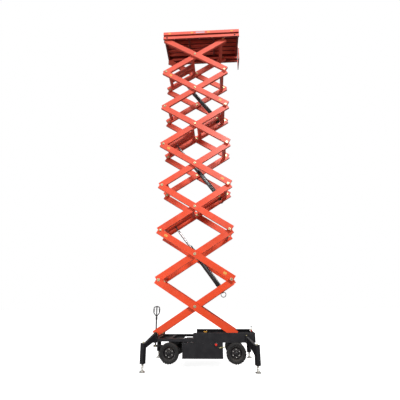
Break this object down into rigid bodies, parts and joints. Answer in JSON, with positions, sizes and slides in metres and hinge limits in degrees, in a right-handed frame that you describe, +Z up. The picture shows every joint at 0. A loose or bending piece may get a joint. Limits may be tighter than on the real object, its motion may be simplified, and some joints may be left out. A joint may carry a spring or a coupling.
{
  "type": "scissor lift table",
  "caption": "Tall towable scissor lift table on swing-out screw jacks: crossed box-tube arms, hydraulic cylinders, a channel-framed deck and a wheeled chassis with steering tow bar.",
  "frame": {"origin": "on the ground, in the middle between the jack feet", "axes": "+Z up, +X along the chassis from the tow-bar end to the roller end, +Y to the far side"},
  "size_m": [2.2496, 1.834, 8.4246],
  "materials": {
    "lift_paint": "gloss",
    "platform_paint": "gloss",
    "chassis_paint": "satin",
    "zinc": "satin",
    "cylinder_black": "gloss",
    "rod_chrome": "mirror",
    "hose_rubber": "matte",
    "tyre_rubber": "matte",
    "rim_paint": "satin",
    "button_red": "gloss",
    "unit_grey": "satin",
    "jack_steel": "satin"
  },
  "bodies": {
    "chassis": {"chassis_frame": "chassis_paint", "power_box": "chassis_paint", "power_unit": "unit_grey"},
    "inner_1": {"inner_frame_1": "lift_paint", "pivot_pins_1": "zinc"},
    "outer_1": {"outer_arms_1": "lift_paint"},
    "inner_2": {"inner_frame_2": "lift_paint", "pivot_pins_2": "zinc"},
    "outer_2": {"outer_arms_2": "lift_paint"},
    "inner_3": {"inner_frame_3": "lift_paint", "pivot_pins_3": "zinc"},
    "outer_3": {"outer_arms_3": "lift_paint"},
    "inner_4": {"inner_frame_4": "lift_paint", "pivot_pins_4": "zinc"},
    "outer_4": {"outer_arms_4": "lift_paint"},
    "inner_5": {"inner_frame_5": "lift_paint", "pivot_pins_5": "zinc"},
    "outer_5": {"outer_arms_5": "lift_paint"},
    "inner_6": {"inner_frame_6": "lift_paint", "pivot_pins_6": "zinc"},
    "outer_6": {"outer_arms_6": "lift_paint"},
    "inner_7": {"inner_frame_7": "lift_paint", "pivot_pins_7": "zinc"},
    "outer_7": {"outer_arms_7": "lift_paint"},
    "platform": {"platform_frame": "platform_paint"},
    "ladder": {"boarding_ladder": "platform_paint"},
    "base_rollers": {"base_rollers": "jack_steel"},
    "platform_rollers": {"platform_rollers": "jack_steel"},
    "barrel_1": {"cylinder_barrel_1": "cylinder_black", "hose_loop_1": "hose_rubber"},
    "rod_1": {"cylinder_rod_1": "rod_chrome"},
    "barrel_2": {"cylinder_barrel_2": "cylinder_black", "hose_loop_2": "hose_rubber"},
    "rod_2": {"cylinder_rod_2": "rod_chrome"},
    "barrel_3": {"cylinder_barrel_3": "cylinder_black", "hose_loop_3": "hose_rubber"},
    "rod_3": {"cylinder_rod_3": "rod_chrome"},
    "tow_bar": {"tow_bar": "chassis_paint"},
    "knuckle_front": {"steering_knuckle_front": "chassis_paint"},
    "knuckle_back": {"steering_knuckle_back": "chassis_paint"},
    "tie_rod": {"tie_rod": "chassis_paint"},
    "tiller": {"tiller": "chassis_paint"},
    "wheel_front_left": {"tyre_front_left": "tyre_rubber", "rim_front_left": "rim_paint"},
    "wheel_back_left": {"tyre_back_left": "tyre_rubber", "rim_back_left": "rim_paint"},
    "wheel_front_right": {"tyre_front_right": "tyre_rubber", "rim_front_right": "rim_paint"},
    "wheel_back_right": {"tyre_back_right": "tyre_rubber", "rim_back_right": "rim_paint"},
    "leg_front_left": {"outrigger_arm_front_left": "chassis_paint"},
    "jack_front_left": {"outrigger_jack_front_left": "jack_steel"},
    "leg_back_left": {"outrigger_arm_back_left": "chassis_paint"},
    "jack_back_left": {"outrigger_jack_back_left": "jack_steel"},
    "leg_front_right": {"outrigger_arm_front_right": "chassis_paint"},
    "jack_front_right": {"outrigger_jack_front_right": "jack_steel"},
    "leg_back_right": {"outrigger_arm_back_right": "chassis_paint"},
    "jack_back_right": {"outrigger_jack_back_right": "jack_steel"},
    "estop": {"estop_button": "button_red"},
    "valve_lever": {"valve_lever": "zinc"}
  },
  "joints": [
    {"name": "lift", "type": "hinge", "parent": "chassis", "child": "inner_1", "pos_m": [-0.9, 0, 0.6], "axis": [0, -1, 0], "range_deg": [-30.65, 0]},
    {"name": "crossing_1", "type": "hinge", "parent": "inner_1", "child": "outer_1", "pos_m": [-0.12181, 0, 1.1449], "axis": [0, -1, 0], "range_deg": [-0.2, 61.51]},
    {"name": "elbow_1", "type": "hinge", "parent": "outer_1", "child": "inner_2", "pos_m": [-0.9, 0, 1.68979], "axis": [0, -1, 0], "range_deg": [-61.51, 0.2]},
    {"name": "crossing_2", "type": "hinge", "parent": "inner_2", "child": "outer_2", "pos_m": [-0.12181, 0, 2.23469], "axis": [0, -1, 0], "range_deg": [-0.2, 61.51]},
    {"name": "elbow_2", "type": "hinge", "parent": "outer_2", "child": "inner_3", "pos_m": [-0.9, 0, 2.77959], "axis": [0, -1, 0], "range_deg": [-61.51, 0.2]},
    {"name": "crossing_3", "type": "hinge", "parent": "inner_3", "child": "outer_3", "pos_m": [-0.12181, 0, 3.32449], "axis": [0, -1, 0], "range_deg": [-0.2, 61.51]},
    {"name": "elbow_3", "type": "hinge", "parent": "outer_3", "child": "inner_4", "pos_m": [-0.9, 0, 3.86939], "axis": [0, -1, 0], "range_deg": [-61.51, 0.2]},
    {"name": "crossing_4", "type": "hinge", "parent": "inner_4", "child": "outer_4", "pos_m": [-0.12181, 0, 4.41428], "axis": [0, -1, 0], "range_deg": [-0.2, 61.51]},
    {"name": "elbow_4", "type": "hinge", "parent": "outer_4", "child": "inner_5", "pos_m": [-0.9, 0, 4.95918], "axis": [0, -1, 0], "range_deg": [-61.51, 0.2]},
    {"name": "crossing_5", "type": "hinge", "parent": "inner_5", "child": "outer_5", "pos_m": [-0.12181, 0, 5.50408], "axis": [0, -1, 0], "range_deg": [-0.2, 61.51]},
    {"name": "elbow_5", "type": "hinge", "parent": "outer_5", "child": "inner_6", "pos_m": [-0.9, 0, 6.04898], "axis": [0, -1, 0], "range_deg": [-61.51, 0.2]},
    {"name": "crossing_6", "type": "hinge", "parent": "inner_6", "child": "outer_6", "pos_m": [-0.12181, 0, 6.59387], "axis": [0, -1, 0], "range_deg": [-0.2, 61.51]},
    {"name": "elbow_6", "type": "hinge", "parent": "outer_6", "child": "inner_7", "pos_m": [-0.9, 0, 7.13877], "axis": [0, -1, 0], "range_deg": [-61.51, 0.2]},
    {"name": "crossing_7", "type": "hinge", "parent": "inner_7", "child": "outer_7", "pos_m": [-0.12181, 0, 7.68367], "axis": [0, -1, 0], "range_deg": [-0.2, 61.51]},
    {"name": "platform_level", "type": "hinge", "parent": "outer_7", "child": "platform", "pos_m": [-0.9, 0, 8.22857], "axis": [0, -1, 0], "range_deg": [-30.85, 0.2]},
    {"name": "ladder_swing", "type": "hinge", "parent": "platform", "child": "ladder", "pos_m": [1.1135, 0.255, 8.24857], "axis": [0, -1, 0], "range_deg": [0, 90]},
    {"name": "base_roller_spin", "type": "hinge", "parent": "outer_1", "child": "base_rollers", "pos_m": [0.65639, 0, 0.6], "axis": [0, -1, 0], "continuous": true},
    {"name": "platform_roller_spin", "type": "hinge", "parent": "inner_7", "child": "platform_rollers", "pos_m": [0.65639, 0, 8.22857], "axis": [0, -1, 0], "continuous": true},
    {"name": "barrel_swing_1", "type": "hinge", "parent": "inner_1", "child": "barrel_1", "pos_m": [0.44915, 0, 1.48365], "axis": [0, -1, 0], "range_deg": [-0.2, 72.78]},
    {"name": "rod_stroke_1", "type": "slide", "parent": "barrel_1", "child": "rod_1", "axis": [-0.5883, 0, 0.8086], "range_m": [-0.5551, 0.001]},
    {"name": "barrel_swing_2", "type": "hinge", "parent": "inner_3", "child": "barrel_2", "pos_m": [0.44915, 0, 3.66324], "axis": [0, -1, 0], "range_deg": [-0.2, 72.78]},
    {"name": "rod_stroke_2", "type": "slide", "parent": "barrel_2", "child": "rod_2", "axis": [-0.5883, 0, 0.8086], "range_m": [-0.5551, 0.001]},
    {"name": "barrel_swing_3", "type": "hinge", "parent": "inner_5", "child": "barrel_3", "pos_m": [0.44915, 0, 5.84283], "axis": [0, -1, 0], "range_deg": [-0.2, 72.78]},
    {"name": "rod_stroke_3", "type": "slide", "parent": "barrel_3", "child": "rod_3", "axis": [-0.5883, 0, 0.8086], "range_m": [-0.5551, 0.001]},
    {"name": "tow_bar_steer", "type": "hinge", "parent": "chassis", "child": "tow_bar", "pos_m": [-0.61, 0, 0.35], "axis": [0, 0, 1], "range_deg": [-25, 25]},
    {"name": "kingpin_front", "type": "hinge", "parent": "chassis", "child": "knuckle_front", "pos_m": [-0.61, -0.48, 0.29], "axis": [0, 0, 1], "range_deg": [-25.2, 25.2]},
    {"name": "kingpin_back", "type": "hinge", "parent": "chassis", "child": "knuckle_back", "pos_m": [-0.61, 0.48, 0.29], "axis": [0, 0, 1], "range_deg": [-25.2, 25.2]},
    {"name": "tie_rod_shift", "type": "slide", "parent": "chassis", "child": "tie_rod", "axis": [0, 1, 0], "range_m": [-0.0475, 0.0475]},
    {"name": "tiller_fold", "type": "hinge", "parent": "tow_bar", "child": "tiller", "pos_m": [-0.993, 0, 0.35], "axis": [0, -1, 0], "range_deg": [0, 75]},
    {"name": "wheel_spin_front_left", "type": "hinge", "parent": "knuckle_front", "child": "wheel_front_left", "pos_m": [-0.61, -0.59, 0.29], "axis": [0, 1, 0], "continuous": true},
    {"name": "wheel_spin_back_left", "type": "hinge", "parent": "knuckle_back", "child": "wheel_back_left", "pos_m": [-0.61, 0.59, 0.29], "axis": [0, 1, 0], "continuous": true},
    {"name": "wheel_spin_front_right", "type": "hinge", "parent": "chassis", "child": "wheel_front_right", "pos_m": [0.692, -0.59, 0.29], "axis": [0, 1, 0], "continuous": true},
    {"name": "wheel_spin_back_right", "type": "hinge", "parent": "chassis", "child": "wheel_back_right", "pos_m": [0.692, 0.59, 0.29], "axis": [0, 1, 0], "continuous": true},
    {"name": "leg_swing_front_left", "type": "hinge", "parent": "chassis", "child": "leg_front_left", "pos_m": [-0.906, -0.562, 0.56], "axis": [0, 0, 1], "range_deg": [-61.7, 28.3]},
    {"name": "jack_screw_front_left", "type": "slide", "parent": "leg_front_left", "child": "jack_front_left", "axis": [0, 0, 1], "range_m": [0, 0.105]},
    {"name": "leg_swing_back_left", "type": "hinge", "parent": "chassis", "child": "leg_back_left", "pos_m": [-0.906, 0.562, 0.56], "axis": [0, 0, 1], "range_deg": [-28.3, 61.7]},
    {"name": "jack_screw_back_left", "type": "slide", "parent": "leg_back_left", "child": "jack_back_left", "axis": [0, 0, 1], "range_m": [0, 0.105]},
    {"name": "leg_swing_front_right", "type": "hinge", "parent": "chassis", "child": "leg_front_right", "pos_m": [0.906, -0.562, 0.56], "axis": [0, 0, 1], "range_deg": [-28.3, 61.7]},
    {"name": "jack_screw_front_right", "type": "slide", "parent": "leg_front_right", "child": "jack_front_right", "axis": [0, 0, 1], "range_m": [0, 0.085]},
    {"name": "leg_swing_back_right", "type": "hinge", "parent": "chassis", "child": "leg_back_right", "pos_m": [0.906, 0.562, 0.56], "axis": [0, 0, 1], "range_deg": [-61.7, 28.3]},
    {"name": "jack_screw_back_right", "type": "slide", "parent": "leg_back_right", "child": "jack_back_right", "axis": [0, 0, 1], "range_m": [0, 0.085]},
    {"name": "estop_press", "type": "slide", "parent": "chassis", "child": "estop", "axis": [0, 1, 0], "range_m": [0, 0.006], "stiffness_N_per_m": 600, "springref_m": -0.008},
    {"name": "valve_lever_turn", "type": "hinge", "parent": "chassis", "child": "valve_lever", "pos_m": [1.045, -0.14, 0.662], "axis": [0, 1, 0], "range_deg": [-20, 20]}
  ],
  "couplings": [
    {"joint": "crossing_1", "follows": "lift", "ratio": -2},
    {"joint": "elbow_1", "follows": "lift", "ratio": 2},
    {"joint": "crossing_2", "follows": "lift", "ratio": -2},
    {"joint": "elbow_2", "follows": "lift", "ratio": 2},
    {"joint": "crossing_3", "follows": "lift", "ratio": -2},
    {"joint": "elbow_3", "follows": "lift", "ratio": 2},
    {"joint": "crossing_4", "follows": "lift", "ratio": -2},
    {"joint": "elbow_4", "follows": "lift", "ratio": 2},
    {"joint": "crossing_5", "follows": "lift", "ratio": -2},
    {"joint": "elbow_5", "follows": "lift", "ratio": 2},
    {"joint": "crossing_6", "follows": "lift", "ratio": -2},
    {"joint": "elbow_6", "follows": "lift", "ratio": 2},
    {"joint": "crossing_7", "follows": "lift", "ratio": -2},
    {"joint": "platform_level", "follows": "lift", "ratio": 1},
    {"joint": "barrel_swing_1", "follows": "lift", "ratio": -2.3676},
    {"joint": "rod_stroke_1", "follows": "lift", "m_per_rad": 1.0357},
    {"joint": "barrel_swing_2", "follows": "lift", "ratio": -2.3676},
    {"joint": "rod_stroke_2", "follows": "lift", "m_per_rad": 1.0357},
    {"joint": "barrel_swing_3", "follows": "lift", "ratio": -2.3676},
    {"joint": "rod_stroke_3", "follows": "lift", "m_per_rad": 1.0357},
    {"joint": "kingpin_front", "follows": "tow_bar_steer", "ratio": 1},
    {"joint": "kingpin_back", "follows": "tow_bar_steer", "ratio": 1},
    {"joint": "tie_rod_shift", "follows": "tow_bar_steer", "m_per_rad": -0.10654}
  ]
}
